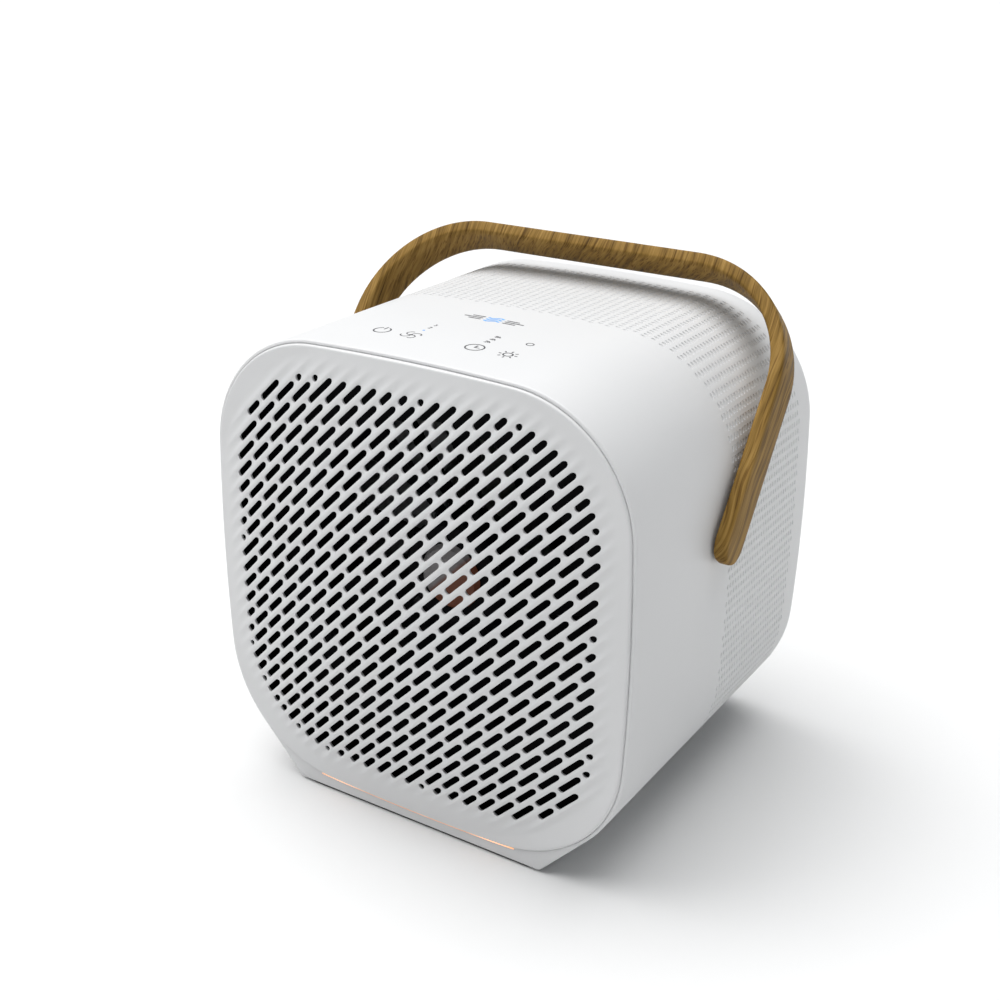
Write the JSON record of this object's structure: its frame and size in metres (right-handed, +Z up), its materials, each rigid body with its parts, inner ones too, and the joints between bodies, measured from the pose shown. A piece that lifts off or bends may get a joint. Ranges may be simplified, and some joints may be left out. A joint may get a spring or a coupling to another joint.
{
  "type": "air purifier",
  "caption": "Desktop air purifier: rounded white sleeve, domed slotted outlet grille, bail handle in wood, ducted fan, ring filter and twist-off rear cover.",
  "frame": {"origin": "on the floor, below the middle of the overall box", "axes": "+X to the right seen from the front, +Y to the rear cover, +Z up; the outlet grille faces -Y"},
  "size_m": [0.214, 0.1895, 0.2286],
  "materials": {
    "white_shell": "satin, fine-textured white moulding",
    "inner_plastic": "matt light grey moulding",
    "black_plastic": "matt black moulding",
    "grey_plastic": "satin mid grey moulding",
    "oak": "satin lacquered oak with open grain",
    "rubber": "matt black rubber",
    "steel": "turned bright steel",
    "brass": "machined brass",
    "copper": "enamelled copper wire",
    "magnet": "matt sintered magnet",
    "circuit_board": "green solder mask",
    "filter_paper": "soft pleated filter paper",
    "foam": "open-cell foam",
    "mesh_cloth": "fine woven mesh",
    "amber_light": "translucent light guide, warm glow"
  },
  "bodies": {
    "body": {"housing_sleeve": "white_shell", "front_grille": "white_shell", "base_pad": "rubber", "night_light_guide": "amber_light", "night_light_board": "circuit_board", "fan_shroud": "black_plastic", "motor_base": "brass", "motor_driver_board": "circuit_board", "stator_core": "steel", "stator_winding": "copper", "bearing_front": "steel", "bearing_rear": "steel", "filter_bulkhead": "inner_plastic", "filter_gasket": "foam", "filter_front_ring": "black_plastic", "filter_media": "filter_paper", "prefilter_mesh": "mesh_cloth", "filter_rear_cap": "black_plastic", "filter_pull_tab": "mesh_cloth", "control_board": "circuit_board", "power_board": "circuit_board", "capacitor_large": "black_plastic", "capacitor_small": "black_plastic", "choke_coil": "copper", "voltage_regulator": "black_plastic", "dc_inlet": "black_plastic", "pivot_bush_right": "black_plastic", "pivot_bush_left": "black_plastic", "shroud_screw_1": "steel", "bulkhead_screw_1": "steel", "shroud_screw_2": "steel", "bulkhead_screw_2": "steel", "shroud_screw_3": "steel", "bulkhead_screw_3": "steel", "shroud_screw_4": "steel", "bulkhead_screw_4": "steel", "touch_spring_power": "steel", "touch_spring_fan": "steel", "touch_spring_timer": "steel", "touch_spring_light": "steel"},
    "fan_rotor": {"impeller": "black_plastic", "hub_cap": "grey_plastic", "rotor_bell": "steel", "rotor_magnet": "magnet", "motor_shaft": "steel"},
    "handle": {"handle": "oak", "pivot_pin_right": "steel", "pivot_pin_left": "steel", "pivot_clip_right": "steel", "pivot_clip_left": "steel"},
    "rear_cover": {"rear_cover": "white_shell"}
  },
  "joints": [
    {"name": "fan_spin", "type": "hinge", "parent": "body", "child": "fan_rotor", "pos_m": [0, -0.04, 0.10611], "axis": [0, 1, 0], "continuous": true},
    {"name": "handle_pivot", "type": "hinge", "parent": "body", "child": "handle", "pos_m": [0, -0.00863, 0.13194], "axis": [1, 0, 0], "range_deg": [0, 76]},
    {"name": "cover_twist", "type": "hinge", "parent": "body", "child": "rear_cover", "pos_m": [0, 0.09, 0.10611], "axis": [0, 1, 0], "range_deg": [0, 25]}
  ]
}
